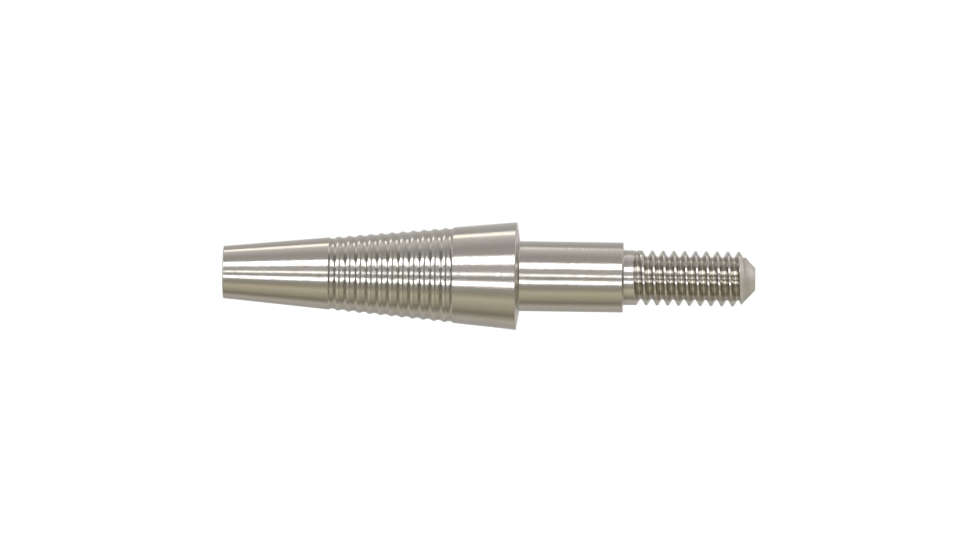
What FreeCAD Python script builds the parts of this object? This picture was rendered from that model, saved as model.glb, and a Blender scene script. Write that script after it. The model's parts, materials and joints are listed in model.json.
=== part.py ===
import FreeCAD, Part
import math
import os

# Screw-in point adapter, turned in one piece from steel bar.
# X is the turning axis. The origin is on it, in the plane of the big end's back edge.
# -X points along the tapered nose, +X along the shank and the threaded stud, +Z is up.

INCH = 25.4
ORIGIN = FreeCAD.Vector(0, 0, 0)
TURNING_AXIS = FreeCAD.Vector(1, 0, 0)

# Tapered nose, which is cemented into a taper socket
BIG_END_DIAMETER = 5 / 16 * INCH
SMALL_END_DIAMETER = 3.85
TAPER_LENGTH = 21.6

# Round-bottomed rings that key the cement
GROOVE_COUNT = 12
GROOVE_PITCH = 0.785
GROOVE_WIDTH = 0.53
GROOVE_DEPTH = 0.11
LAST_GROOVE_FROM_EDGE = 4.90
RIDGE_EDGE_DROP = 0.025

# The big end's back face is a shallow cone that rises this far towards the shank
SHOULDER_RISE = 0.22

# Plain shank, which centres the adapter in an insert
SHANK_DIAMETER = 0.203 * INCH
SHANK_END_X = 7.85

# 8-32 UNC-2A right-hand stud, which screws into the insert
THREAD_PITCH = INCH / 32
THREAD_MAJOR_DIAMETER = 4.04
THREAD_PITCH_DIAMETER = 3.59
THREAD_FLANK_ANGLE = 30.0
THREAD_ROOT_RADIUS = 0.118
FIRST_FULL_ROOT_X = 8.985
THREAD_START_ANGLE = 90.0
TURNS_PER_CUT = 2
RUN_OUT_TURNS = 0.37
RUN_OUT_SECTIONS = 7
RUN_OUT_CLEARANCE = 0.03
STUD_END_X = 17.57
END_FLAT_DIAMETER = 1.62
END_CONE_ANGLE = 47.0

# Small rounds left by the turning tool
EDGE_BREAK = 0.07
SHOULDER_FILLET = 0.08
NECK_FILLET = 0.12

BIG_END_RADIUS = BIG_END_DIAMETER / 2
SMALL_END_RADIUS = SMALL_END_DIAMETER / 2
SHANK_RADIUS = SHANK_DIAMETER / 2
MAJOR_RADIUS = THREAD_MAJOR_DIAMETER / 2
END_FLAT_RADIUS = END_FLAT_DIAMETER / 2
TAPER_SLOPE = (BIG_END_RADIUS - SMALL_END_RADIUS) / TAPER_LENGTH
END_CONE_LENGTH = (MAJOR_RADIUS - END_FLAT_RADIUS) / math.tan(math.radians(END_CONE_ANGLE))
END_CONE_X = STUD_END_X - END_CONE_LENGTH

# The thread groove is a 60 degree V with a rounded root. The pitch diameter is where the groove is
# half a pitch wide, which sets the groove's width at the crest and so its depth.
FLANK_SLOPE = math.tan(math.radians(THREAD_FLANK_ANGLE))
CREST_HALF_WIDTH = THREAD_PITCH / 4 + (MAJOR_RADIUS - THREAD_PITCH_DIAMETER / 2) * FLANK_SLOPE
V_DEPTH = CREST_HALF_WIDTH / FLANK_SLOPE
ROOT_CENTRE_ABOVE_V = THREAD_ROOT_RADIUS / math.sin(math.radians(THREAD_FLANK_ANGLE))
THREAD_DEPTH = V_DEPTH - ROOT_CENTRE_ABOVE_V + THREAD_ROOT_RADIUS
CUTTER_CLEARANCE = 0.1


def taper_radius(x):
    """Radius of the plain taper at x."""
    return BIG_END_RADIUS + x * TAPER_SLOPE


def point(x, radius):
    """A point of the turned outline, which lies in the XZ plane."""
    return FreeCAD.Vector(x, 0, radius)


def line(start, end):
    return Part.LineSegment(start, end).toShape()


def arc(start, middle, end):
    return Part.Arc(start, middle, end).toShape()


def rounded_corner(before, corner, after, radius):
    """The tangent arc that rounds the corner between two straight runs, with its two ends."""
    back = (before - corner).normalize()
    ahead = (after - corner).normalize()
    half_angle = back.getAngle(ahead) / 2
    reach = radius / math.tan(half_angle)
    inward = (back + ahead).normalize()
    centre = corner + inward * (radius / math.sin(half_angle))
    start = corner + back * reach
    end = corner + ahead * reach
    return start, centre - inward * radius, end


def groove_edges():
    """Outline of the grooves and the ridges between them, from the small end to the big end."""
    first_centre = -LAST_GROOVE_FROM_EDGE - (GROOVE_COUNT - 1) * GROOVE_PITCH
    edges = []
    for index in range(GROOVE_COUNT):
        centre = first_centre + index * GROOVE_PITCH
        left = centre - GROOVE_WIDTH / 2
        right = centre + GROOVE_WIDTH / 2
        left_drop = 0 if index == 0 else RIDGE_EDGE_DROP
        right_drop = 0 if index == GROOVE_COUNT - 1 else RIDGE_EDGE_DROP
        start = point(left, taper_radius(left) - left_drop)
        bottom = point(centre, taper_radius(centre) - GROOVE_DEPTH)
        end = point(right, taper_radius(right) - right_drop)
        edges.append(arc(start, bottom, end))
        if index < GROOVE_COUNT - 1:
            crown = centre + GROOVE_PITCH / 2
            next_left = left + GROOVE_PITCH
            next_start = point(next_left, taper_radius(next_left) - RIDGE_EDGE_DROP)
            edges.append(arc(end, point(crown, taper_radius(crown)), next_start))
    return edges


def outline_edges():
    """Closed half outline of the blank before the thread is cut, from tip centre to stud centre."""
    tip_corner = point(-TAPER_LENGTH, SMALL_END_RADIUS)
    big_corner = point(0, BIG_END_RADIUS)
    face_corner = point(SHOULDER_RISE, SHANK_RADIUS)
    shank_corner = point(SHANK_END_X, SHANK_RADIUS)
    neck_corner = point(SHANK_END_X, MAJOR_RADIUS)
    cone_corner = point(END_CONE_X, MAJOR_RADIUS)
    end_corner = point(STUD_END_X, END_FLAT_RADIUS)
    tip_centre = point(-TAPER_LENGTH, 0)
    stud_centre = point(STUD_END_X, 0)

    grooves = groove_edges()
    groove_start = grooves[0].Vertexes[0].Point
    groove_end = grooves[-1].Vertexes[-1].Point

    tip = rounded_corner(tip_centre, tip_corner, groove_start, EDGE_BREAK)
    big = rounded_corner(groove_end, big_corner, face_corner, EDGE_BREAK)
    face = rounded_corner(big_corner, face_corner, shank_corner, SHOULDER_FILLET)
    shank = rounded_corner(face_corner, shank_corner, neck_corner, EDGE_BREAK)
    neck = rounded_corner(shank_corner, neck_corner, cone_corner, NECK_FILLET)

    edges = [line(tip_centre, tip[0]), arc(*tip), line(tip[2], groove_start)]
    edges += grooves
    edges += [line(groove_end, big[0]), arc(*big)]
    edges += [line(big[2], face[0]), arc(*face)]
    edges += [line(face[2], shank[0]), arc(*shank)]
    edges += [line(shank[2], neck[0]), arc(*neck)]
    edges += [line(neck[2], cone_corner), line(cone_corner, end_corner)]
    edges += [line(end_corner, stud_centre), line(stud_centre, tip_centre)]
    return edges


def cutter_section(lift):
    """Outline of the thread groove at the full-depth start, lifted out of the stud by lift."""
    flank_drop = THREAD_ROOT_RADIUS * math.sin(math.radians(THREAD_FLANK_ANGLE))
    flank_half_width = THREAD_ROOT_RADIUS * math.cos(math.radians(THREAD_FLANK_ANGLE))
    bottom = MAJOR_RADIUS - THREAD_DEPTH + lift
    tangent_radius = bottom + THREAD_ROOT_RADIUS - flank_drop
    top = MAJOR_RADIUS + CUTTER_CLEARANCE + lift
    top_half_width = flank_half_width + (top - tangent_radius) * FLANK_SLOPE
    x = FIRST_FULL_ROOT_X
    top_left = point(x - top_half_width, top)
    top_right = point(x + top_half_width, top)
    left = point(x - flank_half_width, tangent_radius)
    right = point(x + flank_half_width, tangent_radius)
    edges = [line(top_left, left), arc(left, point(x, bottom), right)]
    edges += [line(right, top_right), line(top_right, top_left)]
    return Part.Wire(edges)


def run_out_cutter():
    """The last part turn of the groove, where the cutter leaves the stud beside the neck."""
    sections = []
    for index in range(RUN_OUT_SECTIONS):
        share = index / (RUN_OUT_SECTIONS - 1)
        turns = share * RUN_OUT_TURNS
        ease = share * share * (3 - 2 * share)
        section = cutter_section(ease * (THREAD_DEPTH + RUN_OUT_CLEARANCE))
        section.rotate(ORIGIN, TURNING_AXIS, -360 * turns)
        section.translate(TURNING_AXIS * (-THREAD_PITCH * turns))
        sections.append(section)
    return Part.makeLoft(sections, True, False)


def thread_cutters():
    """The full-depth groove, in lengths of a few turns that follow on along the same helix."""
    length = TURNS_PER_CUT * THREAD_PITCH
    path = Part.makeHelix(THREAD_PITCH, length, MAJOR_RADIUS)
    stand_along_x = FreeCAD.Matrix(0, 0, 1, FIRST_FULL_ROOT_X, 0, -1, 0, 0, 1, 0, 0, 0)
    path.transformShape(stand_along_x)
    sweep = Part.BRepOffsetAPI.MakePipeShell(path)
    sweep.setFrenetMode(True)
    sweep.add(cutter_section(0))
    sweep.build()
    sweep.makeSolid()

    cutters = []
    for index in range(math.ceil((STUD_END_X - FIRST_FULL_ROOT_X) / length)):
        cutter = sweep.shape()
        cutter.translate(TURNING_AXIS * (index * length))
        cutters.append(cutter)
    return cutters


def adapter_body():
    """The whole adapter: one turned blank with the thread cut into its stud."""
    body = Part.Face(Part.Wire(outline_edges())).revolve(ORIGIN, TURNING_AXIS, 360)
    for cutter in [run_out_cutter()] + thread_cutters():
        body = body.cut(cutter)
    body = body.Solids[0]
    body.rotate(ORIGIN, TURNING_AXIS, THREAD_START_ANGLE)
    return body


def main():
    os.makedirs("parts", exist_ok=True)
    body = adapter_body()
    body.exportStep("parts/adapter_body.step")
    print(f"adapter_body: valid {body.isValid()}, {body.Volume:.1f} mm3")


main()
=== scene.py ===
import json
import math

import bmesh
import bpy
from mathutils import Matrix, Vector


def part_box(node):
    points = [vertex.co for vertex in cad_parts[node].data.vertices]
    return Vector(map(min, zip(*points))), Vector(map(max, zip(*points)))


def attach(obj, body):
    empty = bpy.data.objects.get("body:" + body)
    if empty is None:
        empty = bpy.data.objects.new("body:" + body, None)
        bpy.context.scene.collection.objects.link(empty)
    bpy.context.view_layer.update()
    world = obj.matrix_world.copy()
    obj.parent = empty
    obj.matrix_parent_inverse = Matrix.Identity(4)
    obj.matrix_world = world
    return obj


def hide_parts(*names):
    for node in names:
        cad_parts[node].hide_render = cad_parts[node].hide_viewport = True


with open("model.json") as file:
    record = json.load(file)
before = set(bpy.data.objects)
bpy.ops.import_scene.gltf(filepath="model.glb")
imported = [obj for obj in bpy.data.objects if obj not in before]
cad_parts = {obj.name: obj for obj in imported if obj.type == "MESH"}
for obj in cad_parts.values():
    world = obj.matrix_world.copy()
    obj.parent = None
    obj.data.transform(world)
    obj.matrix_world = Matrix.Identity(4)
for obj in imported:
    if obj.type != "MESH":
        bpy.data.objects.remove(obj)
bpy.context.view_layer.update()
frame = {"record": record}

# A turned steel point adapter, rebuilt as one fine mesh around the CAD solid.
# Everything is in metres. X is the turning axis, and x = 0 is the plane of the big end's back edge.
MM = 0.001
NODE = "adapter_body"
MOUNTS = {mount["name"]: mount for mount in frame["record"]["mounts"]}
LOWEST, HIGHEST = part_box(NODE)

# Tapered nose
NOSE_X = LOWEST.x
BIG_END_RADIUS = 3.969 * MM
SMALL_END_RADIUS = 1.925 * MM
TAPER_SLOPE = (BIG_END_RADIUS - SMALL_END_RADIUS) / -NOSE_X

# Glue rings
GROOVE_COUNT = 12
GROOVE_PITCH = 0.785 * MM
GROOVE_WIDTH = 0.53 * MM
GROOVE_DEPTH = 0.11 * MM
LAST_GROOVE_X = -4.90 * MM
RIDGE_EDGE_DROP = 0.025 * MM

# Shoulder and shank
SHOULDER_RISE = 0.22 * MM
SHANK_RADIUS = MOUNTS["shank"]["dims"]["r_mm"] * MM
SHANK_END_X = 7.85 * MM

# Threaded stud
THREAD_RADIUS = MOUNTS["threaded_stud"]["dims"]["r_mm"] * MM
THREAD_PITCH = 25.4 / 32 * MM
PITCH_RADIUS = 3.59 / 2 * MM
FLANK_ANGLE = math.radians(30)
ROOT_RADIUS = 0.118 * MM
FIRST_FULL_ROOT_X = 8.985 * MM
RUN_OUT_TURNS = 0.37
STUD_END_X = HIGHEST.x
END_FLAT_RADIUS = 0.81 * MM
END_CONE_ANGLE = math.radians(47)
FLANK_SLOPE = math.tan(FLANK_ANGLE)
ROOT_HALF_WIDTH = ROOT_RADIUS * math.cos(FLANK_ANGLE)
CREST_HALF_WIDTH = THREAD_PITCH / 4 + (THREAD_RADIUS - PITCH_RADIUS) * FLANK_SLOPE
THREAD_DEPTH = CREST_HALF_WIDTH / FLANK_SLOPE - ROOT_RADIUS
END_CONE_X = STUD_END_X - (THREAD_RADIUS - END_FLAT_RADIUS) / math.tan(END_CONE_ANGLE)
THREAD_START_X = FIRST_FULL_ROOT_X - THREAD_PITCH

# Rounds at the outer edges and inner corners
EDGE_BREAK = 0.07 * MM
SHOULDER_FILLET = 0.08 * MM
NECK_FILLET = 0.12 * MM
TIP_BREAK = 0.04 * MM

# Mesh density
SEGMENTS = 180
ARC_STEPS = 6
LONGEST_STEP = 0.4 * MM
EDGE_STEP = 0.03 * MM
SHARP_ANGLE = math.radians(32)
CREST_ROUND = 0.02 * MM
CONE_ROWS_PER_PITCH = 32
SNAP = 0.004 * MM
WELD = 0.0002 * MM

# Lights: the three strips share one length, and are pushed towards the nose
LIGHT_DISTANCE = 0.7
STRIP_SIDE = -0.32
STRIP_LENGTH = 1.36

# The room that the steel reflects: degrees above straight in front, grey level and tint
NEUTRAL = (1.0, 0.98, 0.95)
WARM = (1.0, 0.95, 0.84)
OLIVE = (1.0, 0.935, 0.72)
ROOM_STOPS = (
    (-180, 0.72, NEUTRAL),
    (-150, 0.45, NEUTRAL),
    (-118, 0.62, WARM),
    (-97, 0.28, OLIVE),
    (-80, 0.48, OLIVE),
    (-56, 0.68, OLIVE),
    (-42, 0.40, OLIVE),
    (-30, 0.45, NEUTRAL),
    (-10, 0.42, NEUTRAL),
    (15, 0.58, NEUTRAL),
    (50, 0.50, NEUTRAL),
    (68, 0.47, NEUTRAL),
    (84, 0.62, NEUTRAL),
    (100, 0.85, NEUTRAL),
    (116, 0.5, NEUTRAL),
    (150, 0.62, NEUTRAL),
    (180, 0.72, NEUTRAL),
)


# ---------------------------------------------------------------- outline of the turned body

def taper_radius(x):
    """Radius of the plain taper at x."""
    return BIG_END_RADIUS + x * TAPER_SLOPE


def cone_radius(x):
    """Radius of the stud's end cone at x."""
    return END_FLAT_RADIUS + (STUD_END_X - x) * math.tan(END_CONE_ANGLE)


def faced(x):
    """1 on the duller faces: the small end, the shoulder and the stud's end."""
    return 1.0 if x < NOSE_X + EDGE_BREAK or 0 <= x < SHOULDER_RISE or x > END_CONE_X else 0.0


def add_straight(outline, end):
    """Runs straight to end, with a short step at each end so that corners stay crisp."""
    start = outline[-1][0]
    length = (end - start).length
    steps = max(1, math.ceil((length - 2 * EDGE_STEP) / LONGEST_STEP))
    inner = max(length - 2 * EDGE_STEP, 0)
    places = [EDGE_STEP + inner * i / steps for i in range(steps + 1)] + [length]
    for place in places:
        outline.append((start.lerp(end, place / length), 0.0))


def circle_centre(a, b, c):
    """Centre of the circle through three points of the outline."""
    to_b = b - a
    to_c = c - a
    cross = 2 * (to_b.x * to_c.y - to_b.y * to_c.x)
    x = (to_c.y * to_b.length_squared - to_b.y * to_c.length_squared) / cross
    y = (to_b.x * to_c.length_squared - to_c.x * to_b.length_squared) / cross
    return a + Vector((x, y))


def add_arc(outline, middle, end, relief_shading):
    """Runs along the arc through middle to end; the last argument is 1 for a crown, which gets a painted
    highlight, and -1 for a recess, which gets painted shade.
    """
    centre = circle_centre(outline[-1][0], middle, end)
    first = outline[-1][0] - centre
    last = end - centre
    across = Vector((-first.y, first.x))
    turn = math.atan2(across.dot(last), first.dot(last))
    for step in range(1, ARC_STEPS):
        share = step / ARC_STEPS
        spoke = first * math.cos(turn * share) + across * math.sin(turn * share)
        outline.append((centre + spoke, relief_shading * math.sin(math.pi * share)))
    outline.append((end, 0.0))


def add_corner(outline, corner, after, radius, relief_shading):
    """Runs straight towards corner, and rounds it towards after."""
    back = (outline[-1][0] - corner).normalized()
    ahead = (after - corner).normalized()
    half_angle = back.angle(ahead) / 2
    reach = radius / math.tan(half_angle)
    inward = (back + ahead).normalized()
    middle = corner + inward * (radius / math.sin(half_angle) - radius)
    add_straight(outline, corner + back * reach)
    add_arc(outline, middle, corner + ahead * reach, relief_shading)


def add_grooves(outline):
    """The glue rings: round-bottomed grooves with crowned ridges between them."""
    for index in range(GROOVE_COUNT):
        centre = LAST_GROOVE_X - (GROOVE_COUNT - 1 - index) * GROOVE_PITCH
        left = centre - GROOVE_WIDTH / 2
        right = centre + GROOVE_WIDTH / 2
        last = index == GROOVE_COUNT - 1
        if index == 0:
            add_straight(outline, Vector((left, taper_radius(left))))
        bottom = Vector((centre, taper_radius(centre) - GROOVE_DEPTH))
        right_drop = 0 if last else RIDGE_EDGE_DROP
        add_arc(outline, bottom, Vector((right, taper_radius(right) - right_drop)), -1)
        if not last:
            crown = centre + GROOVE_PITCH / 2
            next_left = left + GROOVE_PITCH
            next_edge = Vector((next_left, taper_radius(next_left) - RIDGE_EDGE_DROP))
            add_arc(outline, Vector((crown, taper_radius(crown))), next_edge, 1)


def front_outline():
    """From the centre of the small end to the plain neck beside the thread."""
    tip_corner = Vector((NOSE_X, SMALL_END_RADIUS))
    first_groove_x = LAST_GROOVE_X - (GROOVE_COUNT - 1) * GROOVE_PITCH - GROOVE_WIDTH / 2
    big_corner = Vector((0, BIG_END_RADIUS))
    face_corner = Vector((SHOULDER_RISE, SHANK_RADIUS))
    shank_corner = Vector((SHANK_END_X, SHANK_RADIUS))
    neck_corner = Vector((SHANK_END_X, THREAD_RADIUS))
    thread_start = Vector((THREAD_START_X, THREAD_RADIUS))

    outline = [(Vector((NOSE_X, 0)), 0.0)]
    add_corner(outline, tip_corner, Vector((first_groove_x, taper_radius(first_groove_x))), EDGE_BREAK, 1)
    add_grooves(outline)
    add_corner(outline, big_corner, face_corner, EDGE_BREAK, 1)
    add_corner(outline, face_corner, shank_corner, SHOULDER_FILLET, -1)
    add_corner(outline, shank_corner, neck_corner, EDGE_BREAK, 1)
    add_corner(outline, neck_corner, thread_start, NECK_FILLET, -1)
    add_straight(outline, thread_start)
    return outline


def end_outline(start_x):
    """From the bottom of the end cone to the centre of the stud's flat end."""
    outline = [(Vector((start_x, cone_radius(start_x))), 0.0)]
    end_corner = Vector((STUD_END_X, END_FLAT_RADIUS))
    end_centre = Vector((STUD_END_X, 0))
    add_corner(outline, end_corner, end_centre, TIP_BREAK, 1)
    add_straight(outline, end_centre)
    return outline


# ---------------------------------------------------------------- thread

def thread_depth(x, turn):
    """Depth of the thread groove at x, on the line that is turn (0 to 1) round from the -Y side."""
    along = (x - FIRST_FULL_ROOT_X) / THREAD_PITCH - turn
    root = round(along)
    beside = abs(along - root) * THREAD_PITCH
    if beside < ROOT_HALF_WIDTH:
        depth = THREAD_DEPTH - ROOT_RADIUS + math.sqrt(ROOT_RADIUS ** 2 - beside ** 2)
    else:
        depth = (CREST_HALF_WIDTH - beside) / FLANK_SLOPE
    run_out = min(max(-(root + turn) / RUN_OUT_TURNS, 0), 1)
    depth -= run_out * run_out * (3 - 2 * run_out) * (THREAD_DEPTH + 3 * CREST_ROUND)
    return (depth + math.hypot(depth, CREST_ROUND)) / 2


def thread_stations():
    """Places across one pitch of the thread, measured from the root: root, flanks and crest."""
    root = [ROOT_RADIUS * math.sin(math.radians(20 * i)) for i in range(3)]
    foot = CREST_HALF_WIDTH - 2 * CREST_ROUND
    flank = [ROOT_HALF_WIDTH + (foot - ROOT_HALF_WIDTH) * i / 3 for i in range(3)]
    crest = [foot + (THREAD_PITCH / 2 - foot) * i / 6 for i in range(6)]
    right = root + flank + crest
    return [-place for place in reversed(right[1:])] + right


def even_stations(count):
    """Evenly spaced places across one pitch."""
    return [THREAD_PITCH * (i / count - 0.5) for i in range(count)]


# ---------------------------------------------------------------- mesh

class RoundMesh:
    """A closed mesh round the X axis. Each vertex keeps its relief (positive for a painted highlight,
    negative for painted shade), its place along the outline and whether it is on a duller face."""

    def __init__(self):
        self.bm = bmesh.new()
        self.relief_shading = self.bm.verts.layers.float.new("relief_shading")
        self.along = self.bm.verts.layers.float.new("along")
        self.faced = self.bm.verts.layers.float.new("faced")
        self.travel = 0.0

    def vertex(self, x, radius, segment, relief_shading):
        """One vertex. Segment 0 is on the -Y side, and the segments turn towards -Z."""
        angle = 2 * math.pi * segment / SEGMENTS
        vert = self.bm.verts.new((x, -radius * math.cos(angle), -radius * math.sin(angle)))
        vert[self.relief_shading] = relief_shading
        vert[self.along] = self.travel / MM
        vert[self.faced] = faced(x)
        return vert

    def ring(self, place, relief_shading):
        """The ring of vertices at one point of the outline, or a single vertex on the axis."""
        if place.y < WELD:
            return [self.vertex(place.x, 0, 0, relief_shading)] * SEGMENTS
        return [self.vertex(place.x, place.y, segment, relief_shading) for segment in range(SEGMENTS)]

    def face(self, corners):
        """A face between corners, leaving out the ones that coincide."""
        different = list(dict.fromkeys(corners))
        if len(different) > 2:
            self.bm.faces.new(different)

    def spin(self, outline, ring=None):
        """Turns an outline into rings of faces. It goes on from ring if one is given."""
        last_place, last_relief_shading = outline[0]
        last = ring or self.ring(last_place, last_relief_shading)
        for place, relief_shading in outline[1:]:
            self.travel += (place - last_place).length
            here = self.ring(place, relief_shading)
            for segment in range(SEGMENTS):
                after = (segment + 1) % SEGMENTS
                self.face([last[segment], here[segment], here[after], last[after]])
            last, last_place = here, place
        return last

    def helix(self, start_ring, start_x, end_x, stations):
        """Rows of faces that follow the thread from start_x to end_x, and the ring that they end on."""
        first_turn = math.floor((start_x - FIRST_FULL_ROOT_X) / THREAD_PITCH) - 2
        last_turn = math.ceil((end_x - FIRST_FULL_ROOT_X) / THREAD_PITCH) + 1
        start_travel = self.travel
        self.travel = start_travel + end_x - start_x
        end_ring = [self.thread_vertex(end_x, segment) for segment in range(SEGMENTS)]
        rows = []
        for turn in range(first_turn, last_turn + 1):
            for station in stations:
                row = []
                for segment in range(SEGMENTS):
                    x = FIRST_FULL_ROOT_X + THREAD_PITCH * (turn + segment / SEGMENTS) + station
                    if x < start_x + SNAP:
                        row.append(start_ring[segment])
                    elif x > end_x - SNAP:
                        row.append(end_ring[segment])
                    else:
                        self.travel = start_travel + x - start_x
                        row.append(self.thread_vertex(x, segment))
                rows.append(row)
        self.travel = start_travel + end_x - start_x
        for index in range(len(rows) - 1):
            for segment in range(SEGMENTS):
                after = (segment + 1) % SEGMENTS
                beside = index if after else index + len(stations)
                if beside + 1 < len(rows):
                    near, far = rows[index][segment], rows[index + 1][segment]
                    self.face([near, far, rows[beside + 1][after], rows[beside][after]])
        return end_ring

    def thread_vertex(self, x, segment):
        """One vertex on the threaded stud, with a painted highlight on a crest and painted shade in a root.
        """
        depth = thread_depth(x, segment / SEGMENTS)
        radius = min(THREAD_RADIUS - depth, cone_radius(x))
        crest = max(0, 1 - depth / CREST_ROUND / 2)
        return self.vertex(x, radius, segment, crest - depth / THREAD_DEPTH)

    def object(self, name):
        """The finished mesh as an object, smooth except at its sharp edges."""
        loose = [vert for vert in self.bm.verts if not vert.link_faces]
        bmesh.ops.delete(self.bm, geom=loose, context="VERTS")
        bmesh.ops.recalc_face_normals(self.bm, faces=self.bm.faces)
        for edge in self.bm.edges:
            edge.smooth = edge.calc_face_angle(0) < SHARP_ANGLE
        mesh = bpy.data.meshes.new(name)
        self.bm.to_mesh(mesh)
        self.bm.free()
        mesh.polygons.foreach_set("use_smooth", [True] * len(mesh.polygons))
        piece = bpy.data.objects.new(name, mesh)
        bpy.context.collection.objects.link(piece)
        return piece


def make_adapter():
    """The whole adapter: turned front, helical thread, end cone and flat end, as one closed mesh."""
    body = RoundMesh()
    neck_ring = body.spin(front_outline())
    cone_ring = body.helix(neck_ring, THREAD_START_X, END_CONE_X, thread_stations())
    tail_x = STUD_END_X - 3 * TIP_BREAK
    tail_ring = body.helix(cone_ring, END_CONE_X, tail_x, even_stations(CONE_ROWS_PER_PITCH))
    body.spin(end_outline(tail_x), tail_ring)
    return body.object("adapter")


# ---------------------------------------------------------------- material

class Maker:
    """Makes shader nodes and links them, so that a material reads from top to bottom."""

    def __init__(self, tree):
        self.tree = tree

    def node(self, kind, **settings):
        """A new node with its properties set."""
        made = self.tree.nodes.new(kind)
        for name, value in settings.items():
            setattr(made, name, value)
        return made

    def feed(self, socket, value):
        """Gives a socket a number, or links the output of another node to it."""
        if isinstance(value, (int, float)):
            socket.default_value = value
        else:
            self.tree.links.new(value, socket)

    def math(self, operation, *values):
        """One sum on numbers or on the outputs of other nodes."""
        made = self.node("ShaderNodeMath", operation=operation)
        for socket, value in zip(made.inputs, values):
            self.feed(socket, value)
        return made.outputs[0]

    def attribute(self, name):
        """A value that the mesh keeps at each vertex."""
        return self.node("ShaderNodeAttribute", attribute_name=name).outputs["Fac"]

    def point(self, x, y, z):
        """A place made of three numbers or outputs."""
        made = self.node("ShaderNodeCombineXYZ")
        for socket, value in zip(made.inputs, (x, y, z)):
            self.feed(socket, value)
        return made.outputs[0]

    def noise(self, place, scale, detail=2.0, rough=0.5):
        """Smooth noise from 0 to 1, about 0.5."""
        made = self.node("ShaderNodeTexNoise")
        self.feed(made.inputs["Vector"], place)
        made.inputs["Scale"].default_value = scale
        made.inputs["Detail"].default_value = detail
        made.inputs["Roughness"].default_value = rough
        return made.outputs["Fac"]

    def band(self, value, low, high, to_low, to_high):
        """Value moved from the range low to high into another range, and held inside it."""
        made = self.node("ShaderNodeMapRange")
        sockets = ("Value", "From Min", "From Max", "To Min", "To Max")
        for socket, number in zip(sockets, (value, low, high, to_low, to_high)):
            self.feed(made.inputs[socket], number)
        return made.outputs[0]

    def mix(self, share, first, second):
        """A blend from first to second. Colours are given as three numbers or as another mix."""
        made = self.node("ShaderNodeMix", data_type="RGBA")
        self.feed(made.inputs["Factor"], share)
        for socket, colour in ((made.inputs[6], first), (made.inputs[7], second)):
            if isinstance(colour, tuple):
                socket.default_value = (*colour, 1)
            else:
                self.tree.links.new(colour, socket)
        return made.outputs[2]

    def blend(self, share, first, second):
        """A blend from the first shader to the second."""
        made = self.node("ShaderNodeMixShader")
        for socket, value in zip(made.inputs, (share, first, second)):
            self.feed(socket, value)
        return made.outputs[0]

    def bump(self, height, distance, normal=None):
        """The surface normal, tilted by a height in metres on top of an earlier bump."""
        made = self.node("ShaderNodeBump")
        self.feed(made.inputs["Height"], height)
        made.inputs["Strength"].default_value = 1.0
        made.inputs["Distance"].default_value = distance
        if normal is not None:
            self.tree.links.new(normal, made.inputs["Normal"])
        return made.outputs[0]


def new_material(name):
    """A material with its principled shader, and the maker of its nodes."""
    material = bpy.data.materials.new(name)
    material.use_nodes = True
    return material, material.node_tree.nodes["Principled BSDF"], Maker(material.node_tree)


def turned_steel():
    """Bright turned steel: fine tool lines round the axis, faint mottling, a painted highlight on crowns
    and crests, and painted shade in the rougher recesses.
    """
    material, shader, make = new_material("turned_steel")
    place = make.node("ShaderNodeTexCoord").outputs["Object"]
    along = make.attribute("along")
    relief_shading = make.attribute("relief_shading")
    dull = make.attribute("faced")
    # Positive relief gets a painted highlight on crowns, crests and outer edges; negative relief gets
    # painted shade in grooves, thread roots and inner corners.
    crown_highlight = make.band(relief_shading, 0.15, 0.9, 0.0, 1.0)
    recessed = make.band(relief_shading, -0.2, -0.9, 0.0, 1.0)

    # Tool lines: noise that changes quickly along the outline and hardly at all round the axis
    lines = make.noise(make.point(along, 0.0, 0.0), 16.0, 3.0, 0.6)
    feed_marks = make.noise(make.point(along, 7.3, 0.0), 3.1, 2.0, 0.5)
    mottle = make.noise(place, 5200.0, 3.0, 0.6)
    patches = make.noise(place, 420.0, 2.0, 0.5)
    grain = make.noise(place, 15000.0, 2.0, 0.6)
    nicks = make.band(make.noise(place, 2300.0, 2.0, 0.5), 0.735, 0.76, 0.0, 1.0)

    steel = make.mix(make.band(patches, 0.3, 0.7, 0.0, 1.0), (0.614, 0.590, 0.562), (0.609, 0.577, 0.522))
    steel = make.mix(make.band(lines, 0.35, 0.65, 0.0, 0.22), steel, (0.520, 0.505, 0.470))
    steel = make.mix(make.band(grain, 0.35, 0.70, 0.0, 0.30), steel, (0.500, 0.480, 0.430))
    # Painted shade: darker steel in the grooves, thread roots and inner corners.
    steel = make.mix(make.math("MULTIPLY", recessed, 0.30), steel, (0.430, 0.405, 0.355))
    # Painted highlight: lighter steel on the crowns, crests and outer edges.
    steel = make.mix(make.math("MULTIPLY", crown_highlight, 0.35), steel, (0.700, 0.690, 0.670))
    steel = make.mix(make.math("MULTIPLY", nicks, 0.45), steel, (0.380, 0.355, 0.310))
    make.feed(shader.inputs["Base Color"], steel)

    rough = make.band(feed_marks, 0.3, 0.7, 0.075, 0.110)
    rough = make.math("MULTIPLY_ADD", mottle, 0.05, rough)
    rough = make.math("MULTIPLY_ADD", recessed, 0.03, rough)
    rough = make.math("MULTIPLY_ADD", dull, 0.24, rough)
    make.feed(shader.inputs["Roughness"], rough)
    shader.inputs["Metallic"].default_value = 1.0

    normal = make.bump(make.math("ADD", lines, feed_marks), 0.0012 * MM)
    normal = make.bump(mottle, 0.0055 * MM, normal)
    normal = make.bump(grain, 0.0024 * MM, normal)
    normal = make.bump(nicks, -0.004 * MM, normal)
    make.feed(shader.inputs["Normal"], normal)
    return material


# ---------------------------------------------------------------- stage, lights and camera

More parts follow.
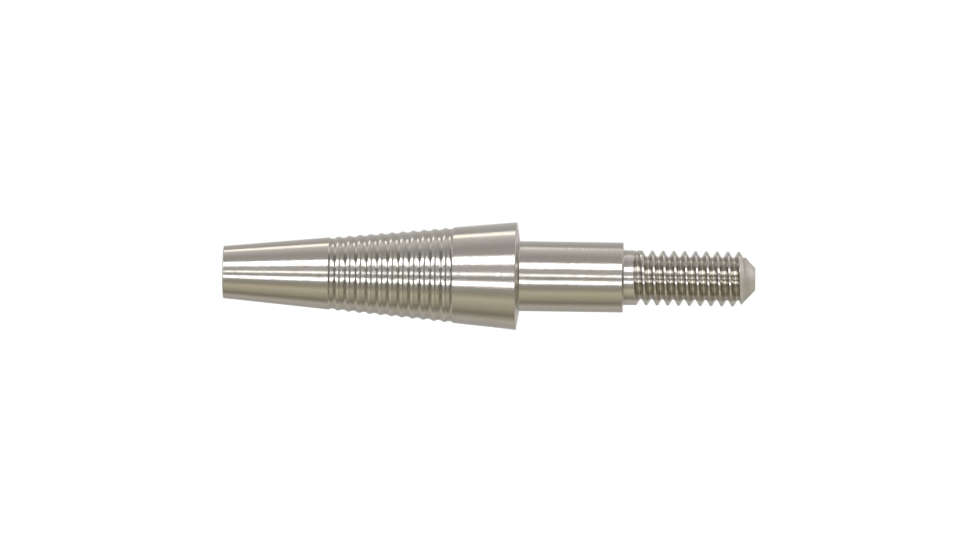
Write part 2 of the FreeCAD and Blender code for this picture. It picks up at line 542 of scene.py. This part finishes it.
def strip_light(name, elevation, height, brightness, side, length, tint=(1, 1, 1)):
    """A long soft strip parallel to the axis, pushed to one side. Elevation and height are in degrees.

    Elevation 0 is straight in front of the object, 90 overhead and 180 behind it.
    """
    data = bpy.data.lights.new(name, "AREA")
    data.shape = "RECTANGLE"
    data.size = length
    data.size_y = 2 * LIGHT_DISTANCE * math.tan(math.radians(height / 2))
    data.energy = brightness * math.pi * data.size * data.size_y
    data.color = tint
    lamp = bpy.data.objects.new(name, data)
    bpy.context.collection.objects.link(lamp)
    up = math.radians(elevation)
    towards = Vector((0, -math.cos(up), math.sin(up)))
    lamp.location = towards * LIGHT_DISTANCE + Vector((side, 0, 0))
    lamp.rotation_euler = (math.pi / 2 - up, 0, 0)
    lamp.visible_camera = False
    return lamp


def make_floor():
    """A plain pale floor under the lowest point of the object."""
    mesh = bpy.data.meshes.new("floor")
    bm = bmesh.new()
    bmesh.ops.create_circle(bm, cap_ends=True, segments=96, radius=3.0)
    bm.to_mesh(mesh)
    bm.free()
    floor = bpy.data.objects.new("floor", mesh)
    bpy.context.collection.objects.link(floor)
    floor.location.z = LOWEST.z
    floor.visible_glossy = False
    floor.visible_shadow = False
    mesh.materials.append(pale_floor())


def pale_floor():
    """A matt white that is evenly lit, and is clear from underneath so that the object's belly shows."""
    material, shader, make = new_material("pale_floor")
    shader.inputs["Base Color"].default_value = (0.9, 0.9, 0.89, 1)
    shader.inputs["Roughness"].default_value = 0.9
    shader.inputs["Emission Color"].default_value = (1, 1, 1, 1)
    shader.inputs["Emission Strength"].default_value = 0.5
    underneath = make.node("ShaderNodeNewGeometry").outputs["Backfacing"]
    clear = make.node("ShaderNodeBsdfTransparent").outputs[0]
    surface = make.blend(underneath, shader.outputs[0], clear)
    make.feed(make.tree.nodes["Material Output"].inputs["Surface"], surface)
    return material


def room_tint(make, towards):
    """The room's grey by its height above and below the object, from ROOM_STOPS."""
    forward = make.math("MULTIPLY", towards["Y"], -1)
    angle = make.math("ARCTAN2", towards["Z"], forward)
    ramp = make.node("ShaderNodeValToRGB")
    make.feed(ramp.inputs[0], make.band(angle, -math.pi, math.pi, 0.0, 1.0))
    elements = ramp.color_ramp.elements
    elements.remove(elements[-1])
    for index, (degrees, level, tint) in enumerate(ROOM_STOPS):
        position = (degrees + 180) / 360
        element = elements[0] if index == 0 else elements.new(position)
        element.position = position
        element.color = (level * tint[0], level * tint[1], level * tint[2], 1)
    return ramp.outputs[0]


def room_strength(make, towards):
    """The room is dim beyond the ends of the strips, and bright behind the stud's end, more so above."""
    sideways = make.math("ABSOLUTE", towards["X"])
    front = make.band(sideways, 0.41, 0.61, 1.0, 0.47)
    lift = make.band(towards["Z"], -0.4, 0.4, 1.35, 1.75)
    behind = make.band(towards["X"], 0.45, 0.85, 1.0, lift)
    return make.band(towards["Y"], -0.15, 0.0, front, behind)


def make_world():
    """White behind the object, and a grey room for it to reflect."""
    world = bpy.data.worlds.new("studio")
    bpy.context.scene.world = world
    world.use_nodes = True
    world.node_tree.nodes.clear()
    make = Maker(world.node_tree)
    split = make.node("ShaderNodeSeparateXYZ")
    make.feed(split.inputs[0], make.node("ShaderNodeTexCoord").outputs["Generated"])
    white = make.node("ShaderNodeBackground")
    white.inputs["Color"].default_value = (1, 1, 1, 1)
    room = make.node("ShaderNodeBackground")
    make.feed(room.inputs["Color"], room_tint(make, split.outputs))
    make.feed(room.inputs["Strength"], room_strength(make, split.outputs))
    seen = make.node("ShaderNodeLightPath").outputs["Is Camera Ray"]
    surface = make.blend(seen, room.outputs[0], white.outputs[0])
    make.feed(make.node("ShaderNodeOutputWorld").inputs["Surface"], surface)


def make_camera():
    """A long lens level with the axis, a little towards the stud, rolled slightly."""
    data = bpy.data.cameras.new("camera")
    data.sensor_width = 36
    data.lens = 500
    data.clip_start = 0.1
    data.clip_end = 10
    camera = bpy.data.objects.new("camera", data)
    bpy.context.collection.objects.link(camera)
    target = Vector((-2.03 * MM, 0, 0.055 * MM))
    azimuth = math.radians(1.8)
    back = Vector((math.sin(azimuth), -math.cos(azimuth), 0))
    camera.location = target + back
    camera.rotation_mode = "QUATERNION"
    roll = Matrix.Rotation(math.radians(0.8), 4, "Z").to_quaternion()
    camera.rotation_quaternion = (-back).to_track_quat("-Z", "Y") @ roll
    bpy.context.scene.camera = camera


adapter = make_adapter()
adapter.data.materials.append(turned_steel())
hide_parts(NODE)
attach(adapter, "root")

make_floor()
make_world()
strip_light("upper_strip", 35.3, 17.5, 2.6, side=STRIP_SIDE, length=STRIP_LENGTH)
strip_light("camera_strip", 3.3, 4.5, 2.4, side=STRIP_SIDE, length=STRIP_LENGTH)
strip_light("lower_strip", -19, 10, 2.6, side=STRIP_SIDE, length=STRIP_LENGTH)
strip_light("top_strip", 107.5, 12, 1.15, side=-0.17, length=0.29, tint=(1, 0.98, 0.90))
make_camera()
bpy.context.scene.view_settings.view_transform = "Standard"
